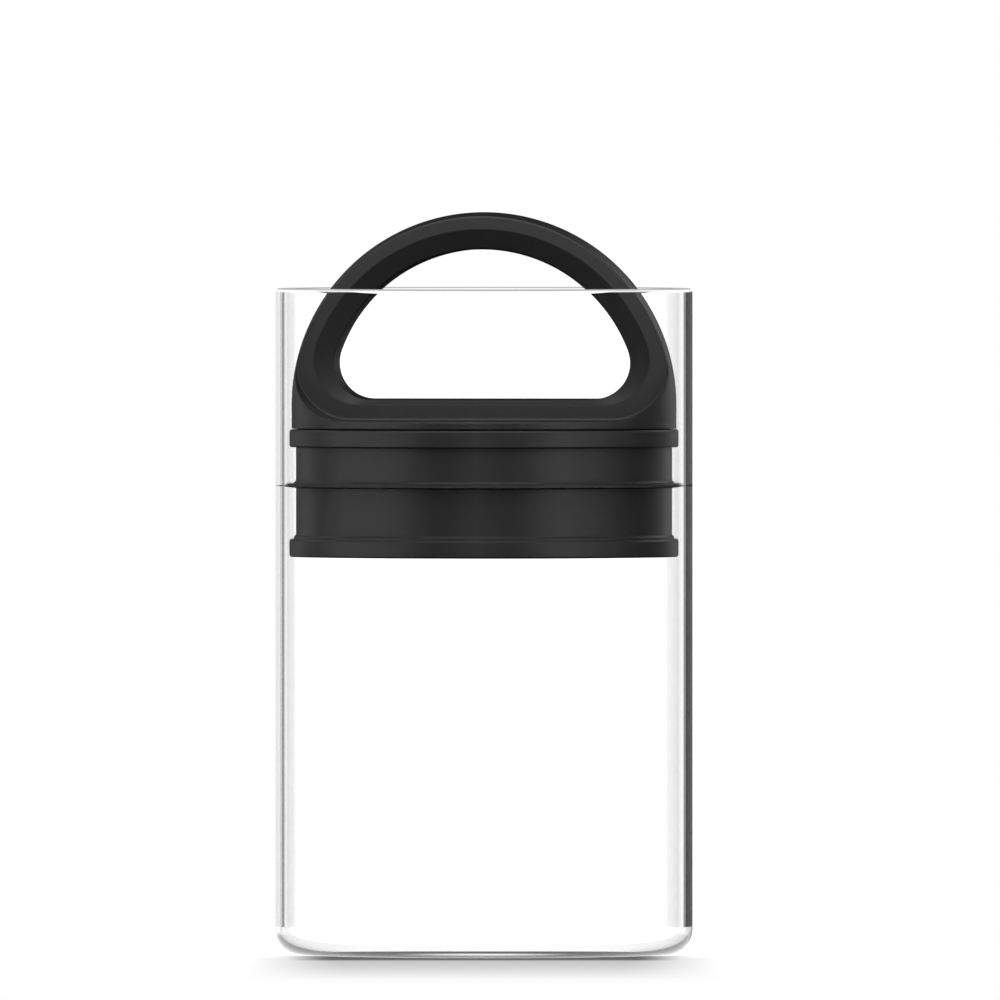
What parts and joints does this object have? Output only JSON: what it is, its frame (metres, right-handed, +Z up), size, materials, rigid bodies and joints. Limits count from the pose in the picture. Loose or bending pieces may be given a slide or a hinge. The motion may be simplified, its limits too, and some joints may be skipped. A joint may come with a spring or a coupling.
{
  "type": "vacuum seal canister",
  "caption": "Clear straight-walled glass canister with a charcoal press-down plunger lid, a thin wiper seal and a domed D-opening handle that lifts to release the vacuum.",
  "frame": {"origin": "middle of the jar's foot, on the surface it stands on", "axes": "+Z up along the jar's axis, X along the handle's arch, Y across the handle's flat faces"},
  "size_m": [0.0952, 0.0952, 0.1694],
  "materials": {
    "clear_glass": "clear, fire-polished",
    "charcoal_plastic": "fine satin moulded texture",
    "seal_silicone": "smooth black silicone",
    "grip_rubber": "soft-touch matte",
    "valve_silicone": "translucent grey silicone",
    "bush_plastic": "natural acetal",
    "steel": "stainless",
    "brass": "turned brass"
  },
  "bodies": {
    "jar": {"glass_jar": "clear_glass"},
    "plunger": {"base_plate": "charcoal_plastic", "lower_housing": "charcoal_plastic", "wiper_seal": "seal_silicone", "upper_housing": "charcoal_plastic", "upper_collar": "charcoal_plastic", "housing_screws": "steel", "guide_bush": "bush_plastic", "return_spring": "steel"},
    "lift_handle": {"handle": "charcoal_plastic", "grip_liner": "grip_rubber", "lift_carrier": "charcoal_plastic", "handle_screws": "steel", "stem_insert": "brass", "valve_stem": "steel", "umbrella_valve": "valve_silicone", "spring_retainer": "steel", "stem_clip": "steel"}
  },
  "joints": [
    {"name": "plunger_slide", "type": "slide", "parent": "jar", "child": "plunger", "axis": [0, 0, 1], "range_m": [-0.086, 0.075]},
    {"name": "handle_lift", "type": "slide", "parent": "plunger", "child": "lift_handle", "axis": [0, 0, 1], "range_m": [0, 0.003], "stiffness_N_per_m": 600, "springref_m": -0.005, "deforming": ["return_spring"]}
  ]
}
